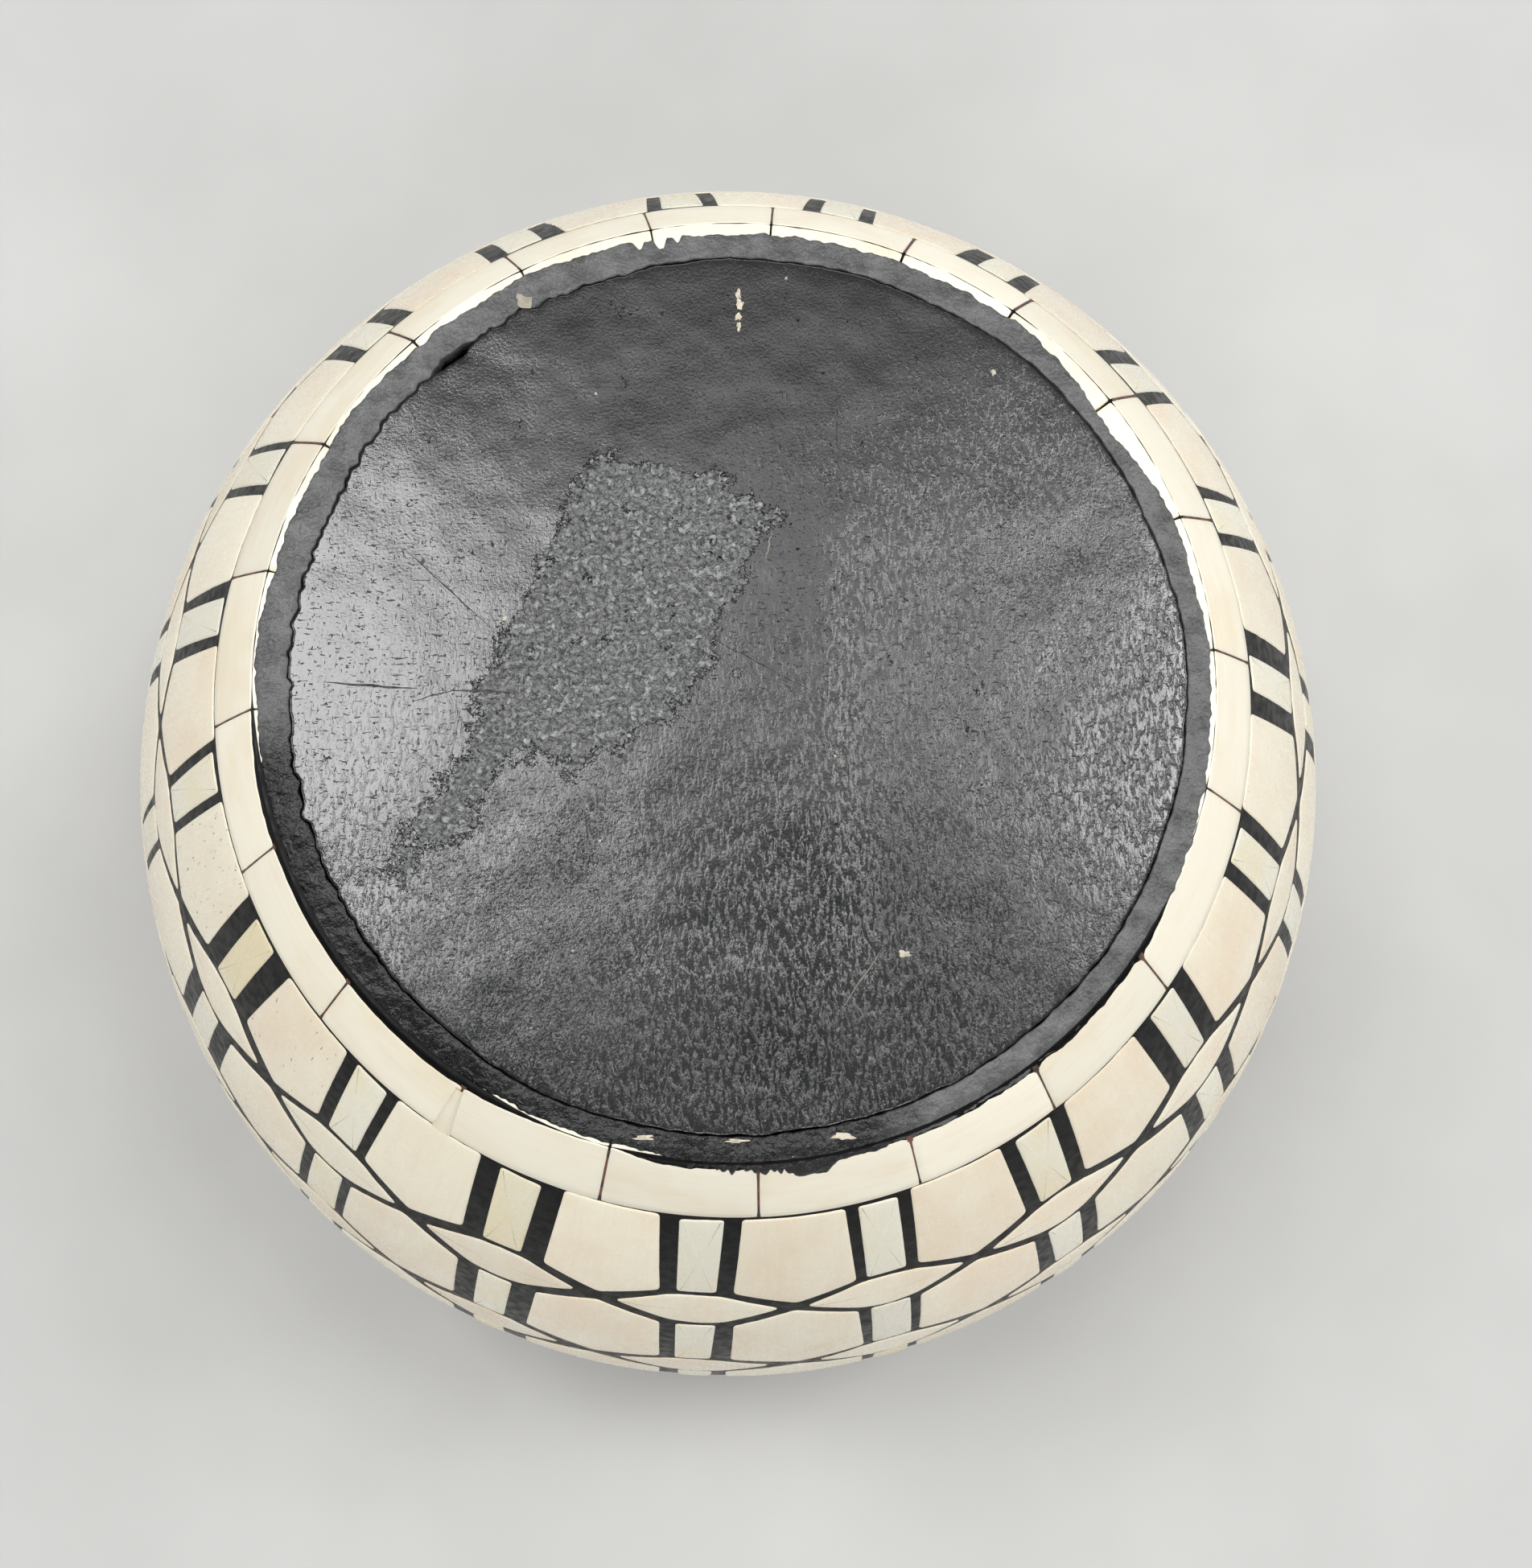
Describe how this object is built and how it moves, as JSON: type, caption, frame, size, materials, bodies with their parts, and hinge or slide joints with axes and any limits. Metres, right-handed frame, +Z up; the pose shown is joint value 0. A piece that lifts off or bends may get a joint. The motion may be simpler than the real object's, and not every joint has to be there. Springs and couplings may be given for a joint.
{
  "type": "go stone bowl",
  "caption": "Squat round wooden bowl for go stones, black underneath, its wall inlaid with cream bone tiles and diamonds in black filler; shown standing on its mouth.",
  "frame": {"origin": "centre of the mouth plane, on which the bowl stands upside down", "axes": "+Z up from the mouth to the flat base, +X to the right and +Y to the far side as the bowl is seen from the front"},
  "size_m": [0.1424, 0.1424, 0.1],
  "materials": {
    "black_wood": "turned wood painted satin black",
    "base_paint": "brushed semi-gloss black paint over wood, scratched, with label residue",
    "black_filler": "polished black resin filler with fine specks",
    "bone_band": "polished cream bone, saw marks at the base edge",
    "bone_tile": "polished warm ivory bone with brown pores",
    "bone_pale": "polished pale grey-white bone with grain",
    "bone_diamond": "polished warm bone"
  },
  "bodies": {
    "root": {"base_band_01": "bone_band", "base_band_02": "bone_band", "base_band_03": "bone_band", "base_band_04": "bone_band", "base_band_05": "bone_band", "base_band_06": "bone_band", "base_band_07": "bone_band", "base_band_08": "bone_band", "base_band_09": "bone_band", "base_band_10": "bone_band", "base_band_11": "bone_band", "base_band_12": "bone_band", "base_band_13": "bone_band", "base_band_14": "bone_band", "base_band_15": "bone_band", "base_band_16": "bone_band", "base_band_17": "bone_band", "base_band_18": "bone_band", "base_band_19": "bone_band", "base_band_20": "bone_band", "base_band_21": "bone_band", "base_disc": "base_paint", "diamond_row_1": "bone_diamond", "diamond_row_2": "bone_diamond", "diamond_row_3": "bone_diamond", "diamond_row_4": "bone_diamond", "filler": "black_filler", "rim_band": "bone_band", "row_1_narrow_tiles": "bone_pale", "row_1_wide_01": "bone_tile", "row_1_wide_02": "bone_tile", "row_1_wide_03": "bone_tile", "row_1_wide_04": "bone_tile", "row_1_wide_05": "bone_tile", "row_1_wide_06": "bone_tile", "row_1_wide_07": "bone_tile", "row_1_wide_08": "bone_tile", "row_1_wide_09": "bone_tile", "row_1_wide_10": "bone_tile", "row_1_wide_11": "bone_tile", "row_1_wide_12": "bone_tile", "row_1_wide_13": "bone_tile", "row_1_wide_14": "bone_tile", "row_1_wide_15": "bone_tile", "row_1_wide_16": "bone_tile", "row_1_wide_17": "bone_tile", "row_1_wide_18": "bone_tile", "row_1_wide_19": "bone_tile", "row_2_narrow_tiles": "bone_pale", "row_2_wide_tiles": "bone_tile", "row_3_narrow_tiles": "bone_pale", "row_3_wide_tiles": "bone_tile", "row_4_narrow_tiles": "bone_pale", "row_4_wide_tiles": "bone_tile", "row_5_narrow_tiles": "bone_pale", "row_5_wide_tiles": "bone_tile", "wall_body": "black_wood"}
  },
  "joints": []
}
